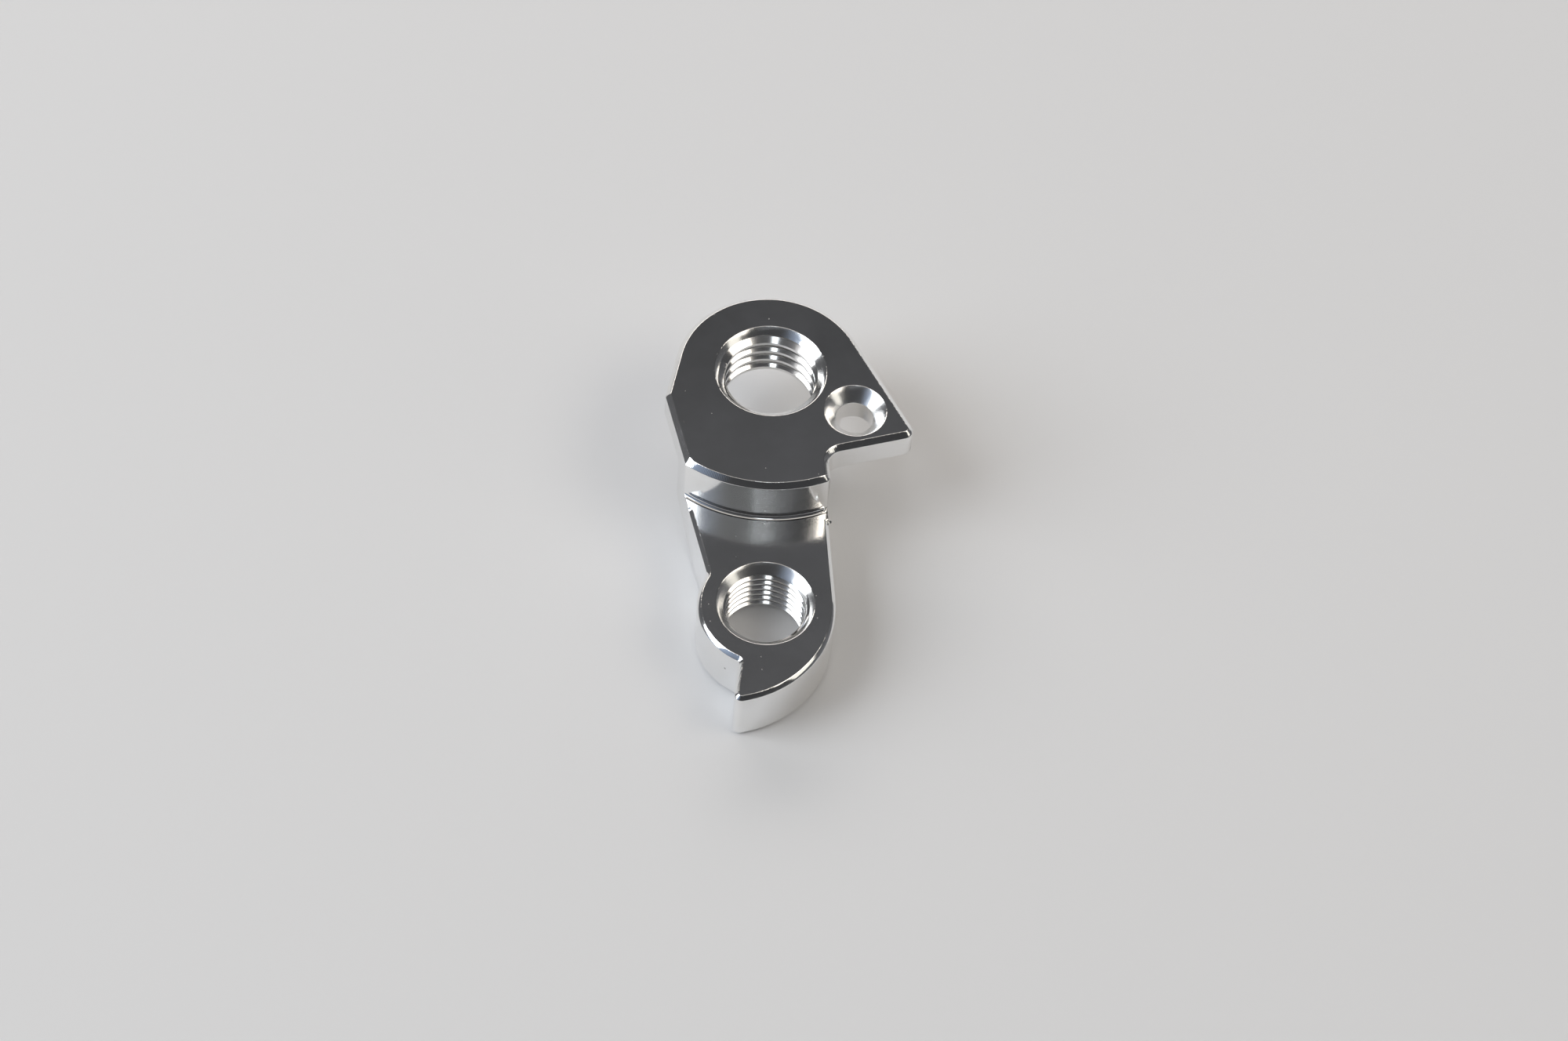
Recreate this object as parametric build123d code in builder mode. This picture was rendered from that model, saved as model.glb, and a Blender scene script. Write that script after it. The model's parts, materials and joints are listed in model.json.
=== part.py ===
"""Bicycle derailleur hanger, one machined piece of aluminium, in millimetres.

The origin is on the axle axis, in the seat that bears on the bicycle frame. The seat looks down,
the outer face of the plate looks up (+Z), and the derailleur bolt lies straight towards -Y.
"""

import math
import os

from build123d import *

# Threaded holes, modelled at the minor diameter of their thread
axle_bore_diameter = 10.376
axle_rim_diameter = 12.9
axle_exit_chamfer = 0.85
bolt_bore_diameter = 8.917
bolt_rim_diameter = 11.1
bolt_exit_chamfer = 0.3
bolt_distance = 28.1

# Countersunk hole for the fixing screw
screw_hole_diameter = 4.3
screw_sink_diameter = 7.2
screw_sink_angle = 90
screw_x = 9.7
screw_y = -5.25

# Levels
plate_thickness = 4.0
axle_boss_height = 3.5
step_height = 6.0
tab_thickness = 7.4

# Edges of the plate: the angle that each faces, from +X, and its distance from the axle
crown_radius = 11.0
crown_end_angle = 168.9
flank_angle = 194.8
flank_distance = 12.57
side_angle = 4.4
side_distance = 5.76
wing_back_angle = 28.1
wing_front_angle = -74.0
wing_front_distance = 12.46
front_wall_radius = 16.4

# Edges of the tab: round boss, stop for the derailleur and long arc
boss_radius = 8.1
boss_offset_x = 0.45
boss_offset_y = -0.25
stop_angle = 173.95
stop_distance = 2.0
long_arc_radius = 13.17

# Underside of the thick end
axle_boss_radius = 8.6
shoulder_distance = 7.5
relief_height = 3.4
relief_length = 8.2
relief_width = 3.4

# Corners in plan
flank_corner_radius = 0.8
front_right_cut = 0.3
wing_tip_radius = 1.1
wing_root_radius = 1.8
notch_radius = 1.2
stop_root_radius = 0.4
stop_tip_radius = 0.8

# Square corner, in degrees
square = 90

# Edge breaks
plate_chamfer = 0.6
tab_chamfer = 0.45
seat_chamfer = 0.3
foot_fillet = 0.5
chamfer_run_out = 1.3
corner_facet_reach = 0.82
corner_facet_drop = 0.68


def direction(angle):
    """Unit vector at an angle in degrees from +X."""
    return Vector(math.cos(math.radians(angle)), math.sin(math.radians(angle)))


def meet(facing_1, distance_1, facing_2, distance_2):
    """Point where two straight edges cross, each given by its facing and its distance."""
    normal_1 = direction(facing_1)
    normal_2 = direction(facing_2)
    spread = normal_1.X * normal_2.Y - normal_1.Y * normal_2.X
    x = (distance_1 * normal_2.Y - distance_2 * normal_1.Y) / spread
    y = (distance_2 * normal_1.X - distance_1 * normal_2.X) / spread
    return Vector(x, y)


def cross_circle(facing, distance, center, radius, side):
    """Point where a straight edge crosses a circle: side 1 is to the left of its facing, -1 to the right."""
    gap = distance - direction(facing).dot(center)
    along = side * math.sqrt(radius**2 - gap**2)
    return center + direction(facing) * gap + direction(facing + square) * along


def arc_middle(center, start, end):
    """Middle of the shorter arc about a center between two points on it."""
    return center + ((start + end) / 2 - center).normalized() * (start - center).length


# Levels and centers
tolerance = 0.01
tab_top = plate_thickness - step_height
bottom = tab_top - tab_thickness
axle = Vector(0, 0)
bolt = Vector(0, -bolt_distance)
boss_center = bolt + Vector(boss_offset_x, boss_offset_y)
long_arc_center = meet(side_angle, side_distance - long_arc_radius, square, -bolt_distance)
shoulder_angle = flank_angle - square
stop_line = stop_distance + direction(stop_angle).dot(bolt)

# Corners of the plate
crown_start = direction(wing_back_angle) * crown_radius
crown_end = direction(crown_end_angle) * crown_radius
flank_corner = meet(crown_end_angle, crown_radius, flank_angle, flank_distance)
front_left = cross_circle(flank_angle, flank_distance, axle, front_wall_radius, 1)
front_right = cross_circle(side_angle, side_distance, axle, front_wall_radius, -1)
wing_root = meet(side_angle, side_distance, wing_front_angle, wing_front_distance)
wing_tip = meet(wing_front_angle, wing_front_distance, wing_back_angle, crown_radius)

# Corners of the arm below the plate
shoulder_left = meet(flank_angle, flank_distance, shoulder_angle, -shoulder_distance)
shoulder_right = meet(side_angle, side_distance, shoulder_angle, -shoulder_distance)
notch = cross_circle(flank_angle, flank_distance, boss_center, boss_radius, -1)
stop_root = cross_circle(stop_angle, stop_line, boss_center, boss_radius, 1)
stop_tip = cross_circle(stop_angle, stop_line, long_arc_center, long_arc_radius, 1)
side_end = long_arc_center + direction(side_angle) * long_arc_radius

# Outline of the plate, with its crown round the axle and the wing for the screw
with BuildSketch() as plate_outline:
    with BuildLine():
        ThreePointArc(crown_start, arc_middle(axle, crown_start, crown_end), crown_end)
        Line(crown_end, flank_corner)
        Line(flank_corner, front_left)
        ThreePointArc(front_left, arc_middle(axle, front_left, front_right), front_right)
        Line(front_right, wing_root)
        Line(wing_root, wing_tip)
        Line(wing_tip, crown_start)
    make_face()
    fillet(plate_outline.vertices().sort_by_distance(flank_corner)[0], flank_corner_radius)
    fillet(plate_outline.vertices().sort_by_distance(wing_root)[0], wing_root_radius)
    fillet(plate_outline.vertices().sort_by_distance(wing_tip)[0], wing_tip_radius)
    chamfer(plate_outline.vertices().sort_by_distance(front_right)[0], front_right_cut)

# Outline of the arm, from the shoulder under the plate to the hooked stop of the tab
with BuildSketch() as arm_outline:
    with BuildLine():
        Line(shoulder_right, shoulder_left)
        Line(shoulder_left, notch)
        ThreePointArc(notch, arc_middle(boss_center, notch, stop_root), stop_root)
        Line(stop_root, stop_tip)
        ThreePointArc(stop_tip, arc_middle(long_arc_center, stop_tip, side_end), side_end)
        Line(side_end, shoulder_right)
    make_face()
    fillet(arm_outline.vertices().sort_by_distance(notch)[0], notch_radius)
    fillet(arm_outline.vertices().sort_by_distance(stop_root)[0], stop_root_radius)
    fillet(arm_outline.vertices().sort_by_distance(stop_tip)[0], stop_tip_radius)

# Neck between plate and tab: what the two outlines share
with BuildSketch() as neck_outline:
    add(plate_outline.sketch)
    add(arm_outline.sketch, mode=Mode.INTERSECT)

# Arm with chamfered edges, all but the upper edge of its shoulder, which the neck covers
with BuildPart() as arm:
    with BuildSketch(Plane.XY.offset(bottom)):
        add(arm_outline.sketch)
    extrude(amount=tab_thickness)
    chamfer(arm.faces().sort_by(Axis.Z)[-1].edges().sort_by_distance((0, 0, tab_top))[1:], tab_chamfer)
    chamfer(arm.faces().sort_by(Axis.Z)[0].edges(), tab_chamfer)

# Slanted relief at the lower rear corner of the arm
relief_top = shoulder_left + Vector(0, 0, bottom + relief_height)
relief_front = shoulder_left + direction(flank_angle + square) * relief_length + Vector(0, 0, bottom)
relief_inner = shoulder_left - direction(flank_angle) * relief_width + Vector(0, 0, bottom)
relief_run = relief_front - relief_top
relief_plane = Plane(origin=relief_top, x_dir=relief_run, z_dir=relief_run.cross(relief_inner - relief_top))
with BuildPart() as relieved_arm:
    add(arm.part)
    split(bisect_by=relief_plane, keep=Keep.TOP)

# Tab edge next to the front wall, which the chamfer stops short of with a slanted end
run_out_depth = 2 * tab_chamfer
with BuildPart() as run_out:
    with BuildSketch(Plane.XY.offset(tab_top)):
        Circle(front_wall_radius + chamfer_run_out)
    extrude(amount=-run_out_depth, taper=-45)
    with BuildSketch(Plane.XY.offset(tab_top - run_out_depth)):
        add(arm_outline.sketch)
    extrude(amount=run_out_depth, mode=Mode.INTERSECT)

# Plate, chamfered on the outer side and eased on the side that bears on the frame
with BuildPart() as plate:
    with BuildSketch():
        add(plate_outline.sketch)
    extrude(amount=plate_thickness)
    chamfer(plate.faces().sort_by(Axis.Z)[-1].edges(), plate_chamfer)
    chamfer(plate.faces().sort_by(Axis.Z)[0].edges(), seat_chamfer)

# Facet on the plate's front left corner, across the mitre of the two chamfers
facet_inward = -(direction(flank_angle) + front_left.normalized()).normalized()
facet_foot = front_left + Vector(0, 0, plate_thickness - corner_facet_drop)
facet_head = front_left + facet_inward * corner_facet_reach + Vector(0, 0, plate_thickness)
facet_rise = facet_head - facet_foot
facet_side = facet_inward.rotate(Axis.Z, square)
facet_plane = Plane(origin=facet_foot, x_dir=facet_rise, z_dir=facet_rise.cross(facet_side))
with BuildPart() as faceted_plate:
    add(plate.part)
    split(bisect_by=facet_plane, keep=Keep.BOTTOM)

# The whole hanger, with its three holes
with BuildPart() as hanger:
    add(relieved_arm.part)
    add(run_out.part)
    with BuildSketch(Plane.XY.offset(tab_top)):
        add(neck_outline.sketch)
    extrude(amount=plate_thickness / 2 - tab_top)
    with BuildSketch(Plane.XY.offset(-axle_boss_height)):
        Circle(axle_boss_radius)
    extrude(amount=axle_boss_height + plate_thickness / 2)
    add(faceted_plate.part)
    with Locations((0, 0, plate_thickness)):
        CounterSinkHole(axle_bore_diameter / 2, axle_rim_diameter / 2, counter_sink_angle=square)
    with Locations((0, -bolt_distance, tab_top)):
        CounterSinkHole(bolt_bore_diameter / 2, bolt_rim_diameter / 2, counter_sink_angle=square)
    with Locations((screw_x, screw_y, plate_thickness)):
        CounterSinkHole(screw_hole_diameter / 2, screw_sink_diameter / 2, counter_sink_angle=screw_sink_angle)
    round_edges = hanger.edges().filter_by(GeomType.CIRCLE)
    chamfer(round_edges.sort_by_distance((0, 0, -axle_boss_height))[0], axle_exit_chamfer)
    chamfer(round_edges.sort_by_distance((0, -bolt_distance, bottom))[0], bolt_exit_chamfer)
    level_edges = hanger.edges().filter_by_position(Axis.Z, tab_top - tolerance, tab_top + tolerance)
    fillet(level_edges.sort_by_distance((0, -front_wall_radius, tab_top))[0], foot_fillet)

hanger.part.label = "hanger"
os.makedirs("parts", exist_ok=True)
export_step(hanger.part, "parts/hanger.step")
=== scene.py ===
"""Derailleur hanger of bright machined aluminium, lying on a pale table in soft light."""

import json
import math

import bmesh
import bpy
from mathutils import Euler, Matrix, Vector


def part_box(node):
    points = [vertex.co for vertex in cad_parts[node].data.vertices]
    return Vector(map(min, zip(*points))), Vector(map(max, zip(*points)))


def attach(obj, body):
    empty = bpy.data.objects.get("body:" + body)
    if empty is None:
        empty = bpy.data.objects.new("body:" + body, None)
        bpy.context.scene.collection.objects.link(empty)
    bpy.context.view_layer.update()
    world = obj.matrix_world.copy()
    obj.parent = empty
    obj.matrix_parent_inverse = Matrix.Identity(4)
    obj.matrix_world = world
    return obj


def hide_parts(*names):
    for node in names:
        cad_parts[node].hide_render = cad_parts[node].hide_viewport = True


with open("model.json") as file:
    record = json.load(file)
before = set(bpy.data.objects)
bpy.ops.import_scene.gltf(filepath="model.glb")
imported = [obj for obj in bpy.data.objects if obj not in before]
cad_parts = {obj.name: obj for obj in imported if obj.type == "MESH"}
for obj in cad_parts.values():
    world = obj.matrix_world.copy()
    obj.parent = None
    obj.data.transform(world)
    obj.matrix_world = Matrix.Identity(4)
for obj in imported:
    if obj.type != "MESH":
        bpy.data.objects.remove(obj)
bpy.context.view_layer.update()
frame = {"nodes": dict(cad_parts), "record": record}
mounts = {mount["name"]: mount for mount in frame["record"]["mounts"]}

# Units
mm = 0.001
micron = 0.000001

# Gap below which two points count as one, and angle below which faces shade as one
merge_gap = 0.1 * micron
smooth_angle = math.radians(40)

# Heights of the hanger's main faces, from its packed box and mounts
low_corner, high_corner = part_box("hanger")
plate_top = high_corner.z
table_top = low_corner.z
tab_top = mounts["derailleur_seat"]["pos_m"][2]

# Underside of the round boss about the axle, and heights just below the countersunk rims of the threads
boss_bottom = -3.5 * mm
axle_rim_end = 2.7 * mm
bolt_rim_end = -3.15 * mm

# Centers of the three holes
axle_center = Vector(mounts["axle_thread"]["pos_m"])
bolt_center = Vector(mounts["bolt_thread"]["pos_m"])
screw_center = Vector(mounts["screw_hole"]["pos_m"])

# Radii that the thread cutters and the finishes go by
axle_bore_radius = mounts["axle_thread"]["dims"]["r_mm"] * mm
bolt_bore_radius = mounts["bolt_thread"]["dims"]["r_mm"] * mm
axle_rim_radius = 6.45 * mm
bolt_rim_radius = 5.55 * mm
screw_rim_radius = 3.6 * mm
front_wall_radius = 16.4 * mm

# Fillet at the foot of the front wall, and the ring of painted shade in its root
foot_fillet = 0.5 * mm
painted_shade_radius = 16.86 * mm
painted_shade_half_width = 0.1 * mm

# Center of the hollow corner between wing and neck, and how far its chamfer reaches
wing_root_center = Vector((8.54, -12.39, 4.0)) * mm
wing_root_reach = 2.6 * mm

# Dirt speck on the wall of the round boss
dirt_place = Vector((-4.3, -34.91, -5.2)) * mm

# Metric threads: pitch, root radius, and a crest's height and angle as the photograph shows them
axle_pitch = 1.5 * mm
axle_root_radius = 6.0 * mm
axle_crest_height = 2.21 * mm
axle_crest_angle = math.radians(82.6)
bolt_pitch = 1.0 * mm
bolt_root_radius = 5.0 * mm
bolt_crest_height = -3.86 * mm
bolt_crest_angle = math.radians(81.7)

# Colours of the metal, of what lies on it, and of the shade painted at the foot of the front wall
shaded_metal = (0.89, 0.885, 0.87, 1)
bright_metal = (0.96, 0.96, 0.96, 1)
dust_color = (0.97, 0.97, 0.96, 1)
dirt_color = (0.12, 0.11, 0.10, 1)
# Painted shade in the root of the front wall's foot
painted_shade_color = (0.10, 0.10, 0.10, 1)


# Working by hand: selecting, editing, applying


def take(piece):
    """Deselect everything, then select one object and make it active."""
    bpy.ops.object.select_all(action="DESELECT")
    piece.select_set(True)
    bpy.context.view_layer.objects.active = piece


def edit(piece):
    """Open one object in edit mode with all of it selected."""
    take(piece)
    bpy.ops.object.mode_set(mode="EDIT")
    bpy.ops.mesh.select_all(action="SELECT")


def leave():
    """Back to object mode."""
    bpy.ops.object.mode_set(mode="OBJECT")


def select_points(piece, test):
    """In edit mode, select only the points that pass a test on their place."""
    bpy.ops.mesh.select_all(action="DESELECT")
    leave()
    for point in piece.data.vertices:
        point.select = test(point.co)
    bpy.ops.object.mode_set(mode="EDIT")


def apply_modifier(piece, modifier):
    """Apply one modifier of an object."""
    take(piece)
    bpy.ops.object.modifier_apply(modifier=modifier.name)


# Body of the hanger, where the faces of its broken edges carry a material number of their own
broken_edge = 1


def mark_outer_edges(body, angle):
    """Give every outward edge that is sharper than an angle its full bevel weight."""
    shape = bmesh.new()
    shape.from_mesh(body.data)
    weight = shape.edges.layers.float.new("bevel_weight_edge")
    for edge in shape.edges:
        edge[weight] = 1.0 if edge.is_manifold and edge.calc_face_angle_signed() > angle else 0.0
    shape.to_mesh(body.data)
    shape.free()


def machined_body():
    """Copy of the solid with merged points, clean faces and a fine break on every edge."""
    flat_angle = math.radians(0.3)
    sharp_angle = math.radians(38)
    source = frame["nodes"]["hanger"]
    body = bpy.data.objects.new("machined_hanger", source.data.copy())
    bpy.context.scene.collection.objects.link(body)
    body.data.materials.clear()
    for _ in range(broken_edge + 1):
        body.data.materials.append(None)
    take(body)
    bpy.ops.mesh.customdata_custom_splitnormals_clear()
    edit(body)
    bpy.ops.mesh.remove_doubles(threshold=merge_gap)
    bpy.ops.mesh.dissolve_limited(angle_limit=flat_angle)
    leave()
    mark_outer_edges(body, sharp_angle)
    edge_break = body.modifiers.new("edge_break", "BEVEL")
    edge_break.width = 0.06 * mm
    edge_break.segments = 2
    edge_break.limit_method = "WEIGHT"
    edge_break.use_clamp_overlap = False
    edge_break.material = broken_edge
    apply_modifier(body, edge_break)
    return body


# Threads


def thread_cutter(name, center, pitch, bore_radius, root_radius, crest_height, crest_angle, low, high):
    """Helical cutter with the sixty-degree profile of a metric thread, from below a bore to above it."""
    steps_per_turn = 120
    flank_angle = math.radians(30)
    reach_inside = 0.15 * mm
    root_flat = pitch / 8
    depth = root_radius - bore_radius + reach_inside
    mouth = root_flat + 2 * depth * math.tan(flank_angle)
    groove_height = crest_height + pitch / 2 - pitch * crest_angle / math.tau
    turns_down = math.ceil((groove_height - low) / pitch) + 1
    start_height = groove_height - turns_down * pitch
    turns = math.ceil((high - start_height) / pitch) + 1
    bpy.ops.object.select_all(action="DESELECT")
    bpy.ops.mesh.primitive_plane_add(size=1)
    cutter = bpy.context.active_object
    cutter.name = name
    edit(cutter)
    bpy.ops.transform.rotate(value=math.pi / 2, orient_axis="X", center_override=(0, 0, 0))
    bpy.ops.transform.resize(value=(depth, 1, mouth), center_override=(0, 0, 0))
    select_points(cutter, lambda place: place.x > 0)
    bpy.ops.transform.resize(value=(1, 1, root_flat / mouth), center_override=(depth / 2, 0, 0))
    bpy.ops.mesh.select_all(action="SELECT")
    bpy.ops.transform.translate(value=(root_radius - depth / 2, 0, start_height))
    bpy.ops.mesh.delete(type="ONLY_FACE")
    leave()
    sweep = cutter.modifiers.new("helix", "SCREW")
    sweep.axis = "Z"
    sweep.angle = math.tau
    sweep.screw_offset = pitch
    sweep.iterations = turns
    sweep.steps = steps_per_turn
    sweep.render_steps = steps_per_turn
    apply_modifier(cutter, sweep)
    edit(cutter)
    bpy.ops.transform.translate(value=(center.x, center.y, 0))
    bpy.ops.mesh.remove_doubles(threshold=merge_gap)
    bpy.ops.mesh.fill_holes(sides=4)
    bpy.ops.mesh.select_all(action="SELECT")
    bpy.ops.mesh.normals_make_consistent(inside=False)
    leave()
    return cutter


def cut(body, cutter):
    """Cut one shape out of the body and throw the cutter away."""
    boolean = body.modifiers.new("cut", "BOOLEAN")
    boolean.operation = "DIFFERENCE"
    boolean.solver = "EXACT"
    boolean.object = cutter
    apply_modifier(body, boolean)
    bpy.data.objects.remove(cutter)


hanger = machined_body()
cut(hanger, thread_cutter("axle_thread_cutter", axle_center, axle_pitch, axle_bore_radius, axle_root_radius,
                          axle_crest_height, axle_crest_angle, boss_bottom, plate_top))
cut(hanger, thread_cutter("bolt_thread_cutter", bolt_center, bolt_pitch, bolt_bore_radius, bolt_root_radius,
                          bolt_crest_height, bolt_crest_angle, table_top, tab_top))


# Nodes that the finishes and the room are made of


def node_group(name, inputs, outputs):
    """Empty shader node group with named sockets."""
    group = bpy.data.node_groups.new(name, "ShaderNodeTree")
    for label, kind, value in inputs:
        socket = group.interface.new_socket(label, in_out="INPUT", socket_type=kind)
        socket.default_value = value
    for label, kind in outputs:
        group.interface.new_socket(label, in_out="OUTPUT", socket_type=kind)
    return group


def add_node(tree, kind, **settings):
    """New node with its plain settings."""
    node = tree.nodes.new(kind)
    for key, value in settings.items():
        setattr(node, key, value)
    return node


def math_node(tree, operation, first, second=None):
    """Math node fed by sockets or plain numbers."""
    node = add_node(tree, "ShaderNodeMath", operation=operation)
    for place, value in enumerate((first, second)):
        if value is None:
            continue
        if isinstance(value, (int, float)):
            node.inputs[place].default_value = value
        else:
            tree.links.new(value, node.inputs[place])
    return node.outputs[0]


def noise_node(tree, vector, scale, detail=2.0, roughness=0.5):
    """Noise texture on a vector, with its factor as output."""
    node = add_node(tree, "ShaderNodeTexNoise")
    node.inputs["Scale"].default_value = scale
    node.inputs["Detail"].default_value = detail
    node.inputs["Roughness"].default_value = roughness
    tree.links.new(vector, node.inputs["Vector"])
    return node.outputs[0]


def range_node(tree, value, from_low, from_high, to_low, to_high):
    """Clamped change of range."""
    node = add_node(tree, "ShaderNodeMapRange", clamp=True)
    node.inputs["From Min"].default_value = from_low
    node.inputs["From Max"].default_value = from_high
    node.inputs["To Min"].default_value = to_low
    node.inputs["To Max"].default_value = to_high
    tree.links.new(value, node.inputs["Value"])
    return node.outputs[0]


def mix_node(tree, share, first, second):
    """Colour between a first one, given as a socket or plainly, and a plain second one."""
    node = add_node(tree, "ShaderNodeMix", data_type="RGBA")
    tree.links.new(share, node.inputs["Factor"])
    if isinstance(first, tuple):
        node.inputs["A"].default_value = first
    else:
        tree.links.new(first, node.inputs["A"])
    node.inputs["B"].default_value = second
    return node.outputs["Result"]


def offset_node(tree, place, center):
    """Offset of a place from a center."""
    node = add_node(tree, "ShaderNodeVectorMath", operation="SUBTRACT")
    tree.links.new(place, node.inputs[0])
    tree.links.new(center, node.inputs[1])
    return node.outputs[0]


def parts_node(tree, vector):
    """Outputs with the x, y and z of a vector."""
    node = add_node(tree, "ShaderNodeSeparateXYZ")
    tree.links.new(vector, node.inputs[0])
    return node.outputs


def radius_node(tree, offset):
    """Distance of an offset from the upright axis."""
    level = add_node(tree, "ShaderNodeVectorMath", operation="MULTIPLY")
    tree.links.new(offset, level.inputs[0])
    level.inputs[1].default_value = (1, 1, 0)
    node = add_node(tree, "ShaderNodeVectorMath", operation="LENGTH")
    tree.links.new(level.outputs[0], node.inputs[0])
    return node.outputs["Value"]


def nearness_node(tree, place, direction):
    """How near each direction of the room lies to a given one: 1 where they are the same."""
    node = add_node(tree, "ShaderNodeVectorMath", operation="DOT_PRODUCT")
    tree.links.new(place, node.inputs[0])
    node.inputs[1].default_value = direction
    return node.outputs["Value"]


# Marks that more than one finish carries


def tool_ribs_group():
    """Chatter ribs that point at a center, strong in patches, and fading out between two places along x."""
    drift_scale = 300.0
    drift_reach = 9.0
    patch_scale = 170.0
    faded_share = 0.08
    group = node_group(
        "tool_ribs",
        [("Place", "NodeSocketVector", (0, 0, 0)), ("Center", "NodeSocketVector", (0, 0, 0)),
         ("Ribs", "NodeSocketFloat", 200.0), ("Patchiness", "NodeSocketFloat", 0.6),
         ("Full", "NodeSocketFloat", 1.0), ("Gone", "NodeSocketFloat", 2.0)],
        [("Height", "NodeSocketFloat")],
    )
    given = add_node(group, "NodeGroupInput")
    made = add_node(group, "NodeGroupOutput")
    parts = parts_node(group, offset_node(group, given.outputs["Place"], given.outputs["Center"]))
    angle = math_node(group, "ARCTAN2", parts["Y"], parts["X"])
    drift = math_node(group, "MULTIPLY", noise_node(group, given.outputs["Place"], drift_scale), drift_reach)
    turned = math_node(group, "ADD", math_node(group, "MULTIPLY", angle, given.outputs["Ribs"]), drift)
    wave = math_node(group, "ADD", math_node(group, "MULTIPLY", math_node(group, "SINE", turned), 0.5), 0.5)
    patch = range_node(group, noise_node(group, given.outputs["Place"], patch_scale), 0.42, 0.62, 0.0, 1.0)
    kept = math_node(group, "SUBTRACT", 1.0, given.outputs["Patchiness"])
    strength = math_node(group, "ADD", kept, math_node(group, "MULTIPLY", patch, given.outputs["Patchiness"]))
    fade = add_node(group, "ShaderNodeMapRange", clamp=True)
    fade.inputs["To Min"].default_value = 1.0
    fade.inputs["To Max"].default_value = faded_share
    group.links.new(parts["X"], fade.inputs["Value"])
    group.links.new(given.outputs["Full"], fade.inputs["From Min"])
    group.links.new(given.outputs["Gone"], fade.inputs["From Max"])
    faded = math_node(group, "MULTIPLY", strength, fade.outputs[0])
    group.links.new(math_node(group, "MULTIPLY", wave, faded), made.inputs["Height"])
    return group


def mill_lines_group():
    """Fine lines that a milling cutter leaves: rings about an axis on flat faces, level lines on walls."""
    lines_per_meter = 7000.0
    lines_per_radian = 40.0
    group = node_group(
        "mill_lines",
        [("Place", "NodeSocketVector", (0, 0, 0)), ("Center", "NodeSocketVector", (0, 0, 0))],
        [("Height", "NodeSocketFloat")],
    )
    given = add_node(group, "NodeGroupInput")
    made = add_node(group, "NodeGroupOutput")
    offset = offset_node(group, given.outputs["Place"], given.outputs["Center"])
    parts = parts_node(group, offset)
    radius = radius_node(group, offset)
    angle = math_node(group, "ARCTAN2", parts["Y"], parts["X"])
    joined = add_node(group, "ShaderNodeCombineXYZ")
    group.links.new(math_node(group, "MULTIPLY", radius, lines_per_meter), joined.inputs["X"])
    group.links.new(math_node(group, "MULTIPLY", angle, lines_per_radian), joined.inputs["Y"])
    group.links.new(math_node(group, "MULTIPLY", parts["Z"], lines_per_meter), joined.inputs["Z"])
    lines = range_node(group, noise_node(group, joined.outputs[0], 1.0, 2.0, 0.55), 0.25, 0.75, 0.0, 1.0)
    ridges = range_node(group, noise_node(group, joined.outputs[0], 2.3, 1.0, 0.5), 0.60, 0.72, 0.0, 0.9)
    group.links.new(math_node(group, "ADD", lines, ridges), made.inputs["Height"])
    return group


def foot_shade_ring_group():
    """Thin dark ring about an axis, painted shade in the root of a wall's foot."""
    group = node_group(
        "foot_shade_ring",
        [("Place", "NodeSocketVector", (0, 0, 0)), ("Center", "NodeSocketVector", (0, 0, 0)),
         ("Radius", "NodeSocketFloat", 1.0), ("Half Width", "NodeSocketFloat", 0.1)],
        [("Shade", "NodeSocketFloat")],
    )
    given = add_node(group, "NodeGroupInput")
    made = add_node(group, "NodeGroupOutput")
    radius = radius_node(group, offset_node(group, given.outputs["Place"], given.outputs["Center"]))
    gap = math_node(group, "SUBTRACT", radius, given.outputs["Radius"])
    share = math_node(group, "DIVIDE", math_node(group, "ABSOLUTE", gap), given.outputs["Half Width"])
    group.links.new(range_node(group, share, 0.7, 1.1, 0.9, 0.0), made.inputs["Shade"])
    return group


def fine_marks_group():
    """Hair scratches and dust-sized specks of a handled bright face, and soft clouds in its gloss."""
    hair_turn = math.radians(20)
    hair_scale = (5200, 260, 2600)
    speck_scale = 330.0
    cloud_scale = 120.0
    group = node_group(
        "fine_marks",
        [("Place", "NodeSocketVector", (0, 0, 0))],
        [("Height", "NodeSocketFloat"), ("Specks", "NodeSocketFloat"), ("Cloud", "NodeSocketFloat")],
    )
    given = add_node(group, "NodeGroupInput")
    made = add_node(group, "NodeGroupOutput")
    stretch = add_node(group, "ShaderNodeMapping")
    stretch.inputs["Rotation"].default_value = (0, 0, hair_turn)
    stretch.inputs["Scale"].default_value = hair_scale
    group.links.new(given.outputs["Place"], stretch.inputs["Vector"])
    hair = noise_node(group, stretch.outputs[0], 1.0, 3.0, 0.6)
    group.links.new(range_node(group, hair, 0.3, 0.7, 0.0, 1.0), made.inputs["Height"])
    cell = add_node(group, "ShaderNodeTexVoronoi", feature="F1", voronoi_dimensions="2D")
    cell.inputs["Scale"].default_value = speck_scale
    group.links.new(given.outputs["Place"], cell.inputs["Vector"])
    spot = range_node(group, cell.outputs["Distance"], 0.012, 0.036, 1.0, 0.0)
    chance = add_node(group, "ShaderNodeSeparateColor")
    group.links.new(cell.outputs["Color"], chance.inputs[0])
    rare = range_node(group, chance.outputs["Red"], 0.6, 0.95, 0.0, 1.0)
    group.links.new(math_node(group, "MULTIPLY", spot, rare), made.inputs["Specks"])
    group.links.new(noise_node(group, given.outputs["Place"], cloud_scale, 4.0, 0.6), made.inputs["Cloud"])
    return group


tool_ribs = tool_ribs_group()
mill_lines = mill_lines_group()
foot_shade_ring = foot_shade_ring_group()
fine_marks = fine_marks_group()


# Finishes


def bump_over(tree, height, depth, below):
    """Bump node of a depth in microns, laid over the bump below it."""
    bump = add_node(tree, "ShaderNodeBump")
    bump.inputs["Distance"].default_value = depth * micron
    tree.links.new(height, bump.inputs["Height"])
    if below is not None:
        tree.links.new(below.outputs["Normal"], bump.inputs["Normal"])
    return bump


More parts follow.
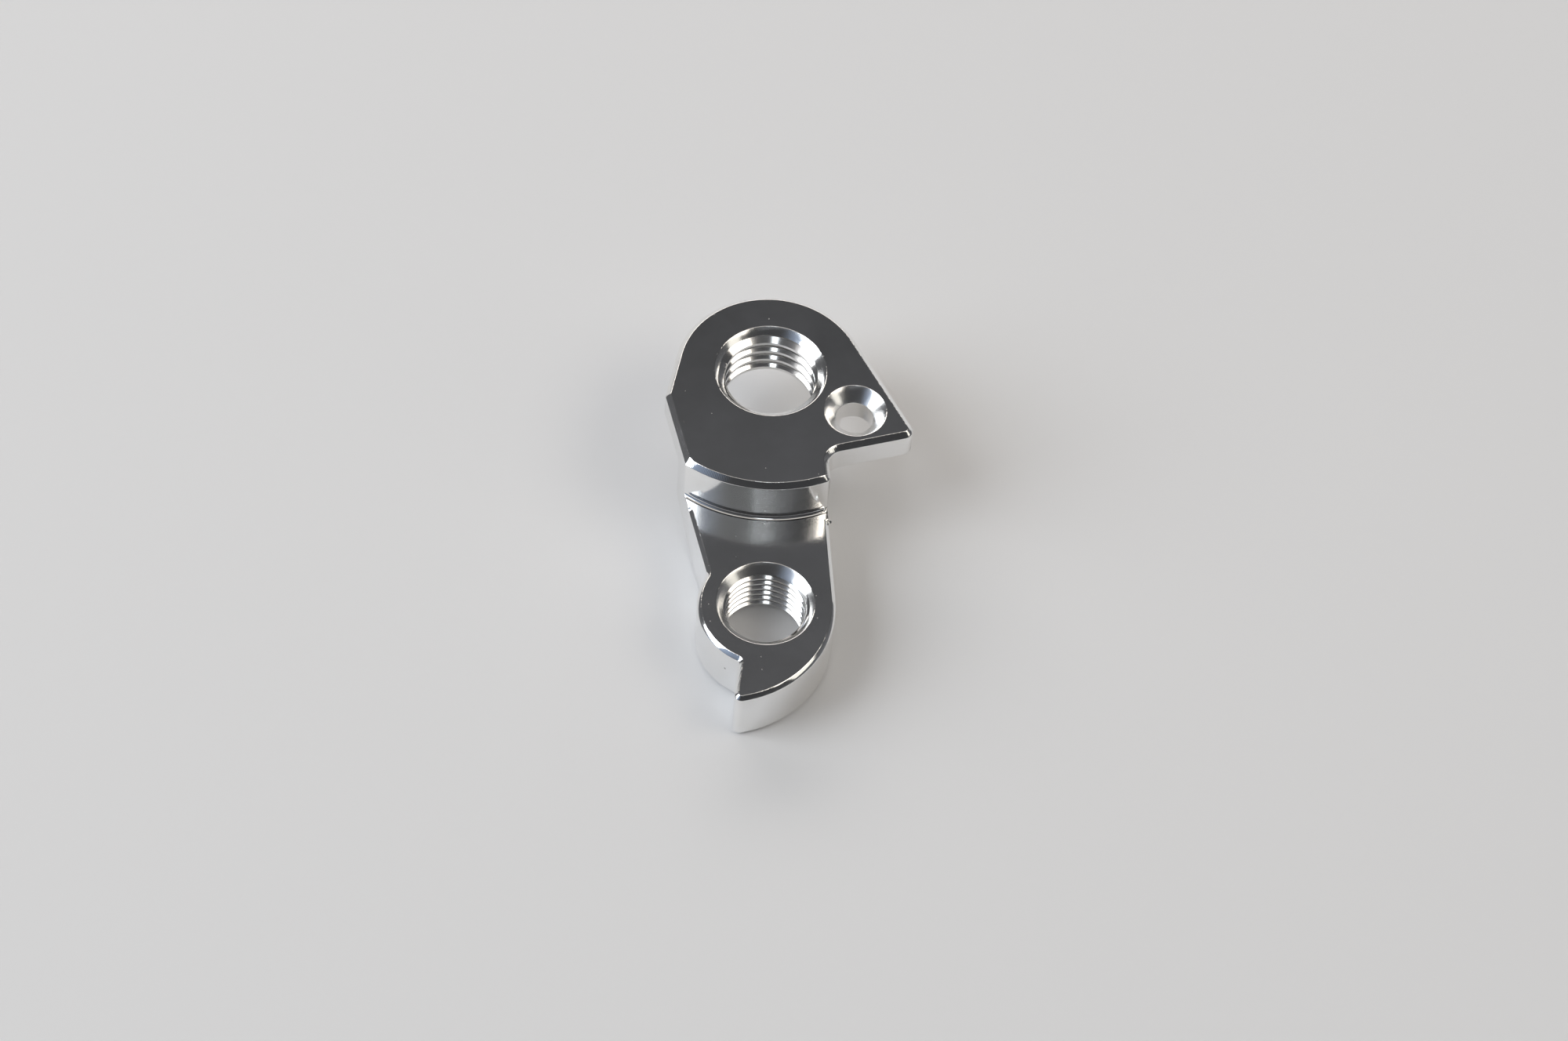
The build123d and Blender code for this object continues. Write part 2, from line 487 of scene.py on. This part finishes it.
def with_dirt(tree, color, place, dirt_place):
    """Colour with one small dark dirt speck at a place."""
    gap = add_node(tree, "ShaderNodeVectorMath", operation="DISTANCE")
    tree.links.new(place, gap.inputs[0])
    gap.inputs[1].default_value = dirt_place
    share = range_node(tree, gap.outputs["Value"], 0.06 * mm, 0.16 * mm, 0.85, 0.0)
    return mix_node(tree, share, color, dirt_color)


def with_painted_shade(tree, color, place):
    """Colour with the dark ring of painted shade at the foot of the front wall."""
    ring = add_node(tree, "ShaderNodeGroup", node_tree=foot_shade_ring)
    ring.inputs["Center"].default_value = axle_center
    ring.inputs["Radius"].default_value = painted_shade_radius
    ring.inputs["Half Width"].default_value = painted_shade_half_width
    tree.links.new(place, ring.inputs["Place"])
    return mix_node(tree, ring.outputs["Shade"], color, painted_shade_color)


def aluminium(name, rough_low, rough_high, scratch_depth, speck_light=0.0, rib_center=None, ribs=200.0,
              rib_depth=0.0, patchiness=0.6, full=1.0, gone=2.0, mill_center=None, mill_depth=0.0,
              nick_depth=0.0, dirt_place=None, painted_foot_shade=False):
    """Bright aluminium with its own gloss, chatter ribs, milling lines and fine marks; depths in microns."""
    dulling_share = 0.7
    fine_nick_scale = 4500.0
    broad_nick_scale = 1100.0
    broad_nick_share = 4
    material = bpy.data.materials.new(name)
    material.use_nodes = True
    tree = material.node_tree
    shader = tree.nodes["Principled BSDF"]
    shader.inputs["Metallic"].default_value = 1.0
    place = add_node(tree, "ShaderNodeTexCoord").outputs["Object"]
    marks = add_node(tree, "ShaderNodeGroup", node_tree=fine_marks)
    tree.links.new(place, marks.inputs["Place"])
    cloud = marks.outputs["Cloud"]
    specks = marks.outputs["Specks"]

    # Colour
    color = mix_node(tree, range_node(tree, cloud, 0.35, 0.65, 0.0, 1.0), shaded_metal, bright_metal)
    color = mix_node(tree, math_node(tree, "MULTIPLY", specks, speck_light), color, dust_color)
    if dirt_place is not None:
        color = with_dirt(tree, color, place, dirt_place)
    # Dark ring of painted shade at the foot of the front wall
    if painted_foot_shade:
        color = with_painted_shade(tree, color, place)
    tree.links.new(color, shader.inputs["Base Color"])

    # Gloss, duller on the specks
    gloss = range_node(tree, cloud, 0.3, 0.7, rough_low, rough_high)
    dulling = math_node(tree, "MULTIPLY", specks, dulling_share * speck_light)
    tree.links.new(math_node(tree, "ADD", gloss, dulling), shader.inputs["Roughness"])

    # Relief
    bump = bump_over(tree, marks.outputs["Height"], scratch_depth, None)
    if nick_depth > 0:
        fine_nicks = noise_node(tree, place, fine_nick_scale, 1.0)
        bump = bump_over(tree, fine_nicks, nick_depth, bump)
        broad_nicks = noise_node(tree, place, broad_nick_scale, 2.0)
        bump = bump_over(tree, broad_nicks, broad_nick_share * nick_depth, bump)
    if mill_center is not None:
        lines = add_node(tree, "ShaderNodeGroup", node_tree=mill_lines)
        lines.inputs["Center"].default_value = mill_center
        tree.links.new(place, lines.inputs["Place"])
        bump = bump_over(tree, lines.outputs["Height"], mill_depth, bump)
    if rib_center is not None:
        cut_ribs = add_node(tree, "ShaderNodeGroup", node_tree=tool_ribs)
        cut_ribs.inputs["Center"].default_value = rib_center
        cut_ribs.inputs["Ribs"].default_value = ribs
        cut_ribs.inputs["Patchiness"].default_value = patchiness
        cut_ribs.inputs["Full"].default_value = full
        cut_ribs.inputs["Gone"].default_value = gone
        tree.links.new(place, cut_ribs.inputs["Place"])
        bump = bump_over(tree, cut_ribs.outputs["Height"], rib_depth, bump)
    tree.links.new(bump.outputs["Normal"], shader.inputs["Normal"])
    return material


finishes = {
    "plate_face": aluminium("plate_face", 0.08, 0.12, 0.10, 0.5),
    # The tab face also carries the ring of painted shade at the wall's foot
    "tab_face": aluminium("tab_face", 0.11, 0.15, 0.10, 0.4, mill_center=axle_center, mill_depth=1.1,
                          painted_foot_shade=True),
    "under_face": aluminium("under_face", 0.12, 0.16, 0.10, 0.4, mill_center=axle_center, mill_depth=0.4),
    "front_wall": aluminium("front_wall", 0.11, 0.15, 0.10, mill_center=axle_center, mill_depth=1.6),
    # Fillet at the wall's foot, with its ring of painted shade
    "foot_line": aluminium("foot_line", 0.07, 0.10, 0.05, painted_foot_shade=True),
    "side_wall": aluminium("side_wall", 0.16, 0.24, 0.2, mill_center=bolt_center, mill_depth=0.8,
                           dirt_place=dirt_place),
    "edge_break": aluminium("edge_break", 0.10, 0.20, 0.2, nick_depth=14.0),
    "root_edge": aluminium("root_edge", 0.08, 0.13, 0.12, rib_center=wing_root_center, ribs=66.0,
                           rib_depth=4.0, patchiness=0.2),
    "plate_edge": aluminium("plate_edge", 0.08, 0.13, 0.12, rib_center=axle_center, ribs=515.0,
                            rib_depth=5.0, patchiness=0.5, full=-8.0 * mm, gone=-3.0 * mm),
    "tab_edge": aluminium("tab_edge", 0.07, 0.11, 0.12, rib_center=bolt_center, ribs=300.0,
                          rib_depth=0.8, patchiness=0.9),
    "axle_rim": aluminium("axle_rim", 0.13, 0.18, 0.1, rib_center=axle_center, ribs=270.0,
                          rib_depth=2.2, patchiness=0.9, mill_center=axle_center, mill_depth=0.4),
    "bolt_rim": aluminium("bolt_rim", 0.19, 0.25, 0.1, rib_center=bolt_center, ribs=230.0,
                          rib_depth=1.4, patchiness=0.9, mill_center=bolt_center, mill_depth=0.4),
    "screw_rim": aluminium("screw_rim", 0.16, 0.22, 0.1, rib_center=screw_center, ribs=150.0,
                           rib_depth=1.4, patchiness=0.9, mill_center=screw_center, mill_depth=0.4),
    "thread_cut": aluminium("thread_cut", 0.10, 0.15, 0.1),
}
finish_order = list(finishes)


def distance_from(center, axis_place):
    """Level distance of a place from an upright axis."""
    return math.hypot(center.x - axis_place.x, center.y - axis_place.y)


def finish_for(center, normal):
    """Name of the finish of a face, from its place and the way it looks."""
    margin = 0.05 * mm
    level = abs(normal.z) > 0.95
    cone = 0.6 < abs(normal.z) < 0.8
    upright = abs(normal.z) < 0.3
    sloping_up = 0.02 < normal.z < 0.99
    if distance_from(center, axle_center) < axle_rim_radius + margin and not level:
        return "axle_rim" if cone and center.z > axle_rim_end else "thread_cut"
    if distance_from(center, bolt_center) < bolt_rim_radius + margin and not level:
        return "bolt_rim" if cone and center.z > bolt_rim_end else "thread_cut"
    if distance_from(center, screw_center) < screw_rim_radius + margin and not level:
        return "screw_rim"
    above_step = center.z > tab_top + 1 * mm
    wall_gap = abs(distance_from(center, axle_center) - front_wall_radius)
    near_wall = wall_gap < foot_fillet and center.y < 0
    if near_wall and tab_top < center.z < tab_top + foot_fillet and sloping_up:
        return "foot_line"
    if level and normal.z < 0:
        return "under_face"
    if level:
        return "plate_face" if above_step else "tab_face"
    if upright:
        return "front_wall" if near_wall else "side_wall"
    if distance_from(center, wing_root_center) < wing_root_reach:
        return "root_edge"
    return "plate_edge" if above_step else "tab_edge"


broken_edges = [face.index for face in hanger.data.polygons if face.material_index == broken_edge]
hanger.data.materials.clear()
for name in finish_order:
    hanger.data.materials.append(finishes[name])
for face in hanger.data.polygons:
    face.material_index = finish_order.index(finish_for(face.center, face.normal))
for index in broken_edges:
    hanger.data.polygons[index].material_index = finish_order.index("edge_break")

take(hanger)
bpy.ops.object.shade_smooth_by_angle(angle=smooth_angle)
even_normals = hanger.modifiers.new("even_normals", "WEIGHTED_NORMAL")
even_normals.weight = 50
even_normals.keep_sharp = True
apply_modifier(hanger, even_normals)

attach(hanger, "root")
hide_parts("hanger")


# Burr


def turned_past(place, axis_place, angle):
    """Whether a point of the chip lies beyond an angle from where its curl starts."""
    offset = place - axis_place
    return math.atan2(offset.x, -offset.z) % math.tau > angle and offset.length > 0.05 * mm


def burr():
    """Small curled chip left hanging on the right upper edge of the tab, close to the front wall."""
    root = Vector((7.00 * mm, -17.05 * mm, tab_top - 0.30 * mm))
    axis_place = root + Vector((0.05 * mm, 0, 0.33 * mm))
    taper_center = root + Vector((0, 0.25 * mm, 0))
    chip_length = 0.75 * mm
    chip_thickness = 0.12 * mm
    full_turn = math.radians(215)
    twist = math.radians(18)
    taper = 0.74
    bpy.ops.object.select_all(action="DESELECT")
    bpy.ops.mesh.primitive_plane_add(size=1)
    chip = bpy.context.active_object
    chip.name = "burr"
    edit(chip)
    bpy.ops.transform.rotate(value=math.pi / 2, orient_axis="Y", center_override=(0, 0, 0))
    bpy.ops.transform.resize(value=(1, chip_length, chip_thickness), center_override=(0, 0, 0))
    bpy.ops.transform.translate(value=root)
    bpy.ops.mesh.spin(steps=16, angle=-full_turn, center=axis_place, axis=(0, 1, 0))
    for share in (0.3, 0.45, 0.6, 0.75, 0.9):
        select_points(chip, lambda place: turned_past(place, axis_place, share * full_turn))
        bpy.ops.transform.resize(value=(1, taper, 1), center_override=taper_center)
    bpy.ops.mesh.select_all(action="SELECT")
    bpy.ops.mesh.remove_doubles(threshold=merge_gap)
    bpy.ops.mesh.normals_make_consistent(inside=False)
    bpy.ops.transform.rotate(value=twist, orient_axis="Z", center_override=root)
    leave()
    chip.data.materials.append(finishes["tab_edge"])
    take(chip)
    bpy.ops.object.shade_smooth_by_angle(angle=smooth_angle)
    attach(chip, "root")


burr()


# Table


def table():
    """Plain pale table top with a soft sheen."""
    table_size = 8
    bpy.ops.object.select_all(action="DESELECT")
    bpy.ops.mesh.primitive_grid_add(x_subdivisions=4, y_subdivisions=4, size=table_size, location=(0, 0, 0))
    floor = bpy.context.active_object
    floor.name = "table"
    edit(floor)
    bpy.ops.transform.translate(value=(0, 0, table_top))
    leave()
    material = bpy.data.materials.new("pale_table")
    material.use_nodes = True
    shader = material.node_tree.nodes["Principled BSDF"]
    shader.inputs["Base Color"].default_value = (0.84, 0.84, 0.845, 1)
    shader.inputs["Roughness"].default_value = 0.55
    shader.inputs["Specular IOR Level"].default_value = 0.2
    floor.data.materials.append(material)


table()


# Light


def lamp(name, azimuth, elevation, distance, width, height, power, color):
    """Soft area lamp aimed at the hanger, from an azimuth counted from +X and an elevation, in degrees."""
    aim = Vector((0, -15 * mm, 0))
    turn = math.radians(azimuth)
    rise = math.radians(elevation)
    away = Vector((math.cos(turn) * math.cos(rise), math.sin(turn) * math.cos(rise), math.sin(rise)))
    light = bpy.data.lights.new(name, "AREA")
    light.shape = "RECTANGLE"
    light.size = width
    light.size_y = height
    light.energy = power
    light.color = color
    placed = bpy.data.objects.new(name, light)
    placed.location = aim + away * distance
    placed.rotation_euler = away.to_track_quat("Z", "Y").to_euler()
    bpy.context.scene.collection.objects.link(placed)


# Lamps: azimuth, elevation, distance, width and height in metres, power in watts, colour
lamp("window_left", 187, 36, 1.2, 0.71, 0.97, 7.4, (0.94, 0.975, 1.0))
lamp("window_right_low", -14, 29, 1.3, 0.5, 0.57, 0.9, (1.0, 0.965, 0.87))
lamp("window_right_high", -12, 48, 1.3, 0.97, 0.5, 2.85, (1.0, 0.94, 0.85))
lamp("ceiling", 90, 88, 1.3, 2.6, 0.75, 3.3, (1.0, 0.94, 0.88))
lamp("window_back", 100, 28, 1.3, 1.6, 0.5, 6.4, (1.0, 0.94, 0.88))
lamp("pane_front", 272, 65, 1.3, 0.15, 0.22, 0.30, (0.9, 0.96, 1.0))
lamp("panel_front", 247, 56, 1.4, 1.8, 0.3, 0.17, (0.92, 0.96, 1.0))
lamp("pane_front_low", 264, 53, 1.3, 0.07, 0.12, 0.008, (0.86, 0.95, 1.0))


def room():
    """Room, darker in front, on the right and in the back left corner, with a bluish glow on the left."""
    glow_direction = (-0.785, -0.366, 0.5)
    glow_color = (0.42, 0.52, 0.70, 1)
    corner_direction = (-0.83, 0.54, 0.12)
    green_share = 1.015
    blue_share = 1.07

    # Shades of the room from table level up to straight overhead
    shades = (
        (0.0, 0.30), (0.2, 0.23), (0.4, 0.15), (0.65, 0.105),
        (0.78, 0.074), (0.82, 0.128), (0.84, 0.104), (1.0, 0.12),
    )
    world = bpy.data.worlds.new("room")
    bpy.context.scene.world = world
    world.use_nodes = True
    tree = world.node_tree
    backdrop = tree.nodes["Background"]
    place = add_node(tree, "ShaderNodeTexCoord").outputs["Generated"]
    parts = parts_node(tree, place)
    ramp = add_node(tree, "ShaderNodeValToRGB")
    stops = ramp.color_ramp.elements
    while len(stops) < len(shades):
        stops.new(0.5)
    for stop, (height, shade) in zip(stops, shades):
        stop.position = height
        stop.color = (shade, shade * green_share, shade * blue_share, 1)
    tree.links.new(parts["Z"], ramp.inputs["Fac"])
    glow = range_node(tree, nearness_node(tree, place, glow_direction), 0.84, 1.0, 0.0, 1.0)
    color = mix_node(tree, glow, ramp.outputs["Color"], glow_color)
    tree.links.new(color, backdrop.inputs["Color"])
    front = range_node(tree, parts["Y"], -0.8, -0.1, 0.5, 1.0)
    side = range_node(tree, parts["X"], -0.9, 0.9, 1.0, 0.45)
    corner = range_node(tree, nearness_node(tree, place, corner_direction), 0.80, 0.97, 1.0, 0.4)
    strength = math_node(tree, "MULTIPLY", math_node(tree, "MULTIPLY", front, side), corner)
    tree.links.new(strength, backdrop.inputs["Strength"])


room()

# Camera at the photograph's place
photo_width_pixels = 2000
focal_pixels = 5000
sensor_width = 36
camera_place = Vector((-15.502, -273.063, 360.781)) * mm
camera_elevation = math.radians(54.693)
camera_azimuth = math.radians(-3.901)
camera_roll = math.radians(5.340)
camera_data = bpy.data.cameras.new("camera")
camera_data.sensor_width = sensor_width
camera_data.lens = focal_pixels / photo_width_pixels * sensor_width
camera_data.clip_start = 1 * mm
camera = bpy.data.objects.new("camera", camera_data)
camera.location = camera_place
tilted = Euler((math.pi / 2 - camera_elevation, 0, camera_azimuth)).to_matrix()
camera.rotation_euler = (tilted @ Euler((0, 0, camera_roll)).to_matrix()).to_euler()
bpy.context.scene.collection.objects.link(camera)
bpy.context.scene.camera = camera

bpy.context.scene.view_settings.view_transform = "Standard"
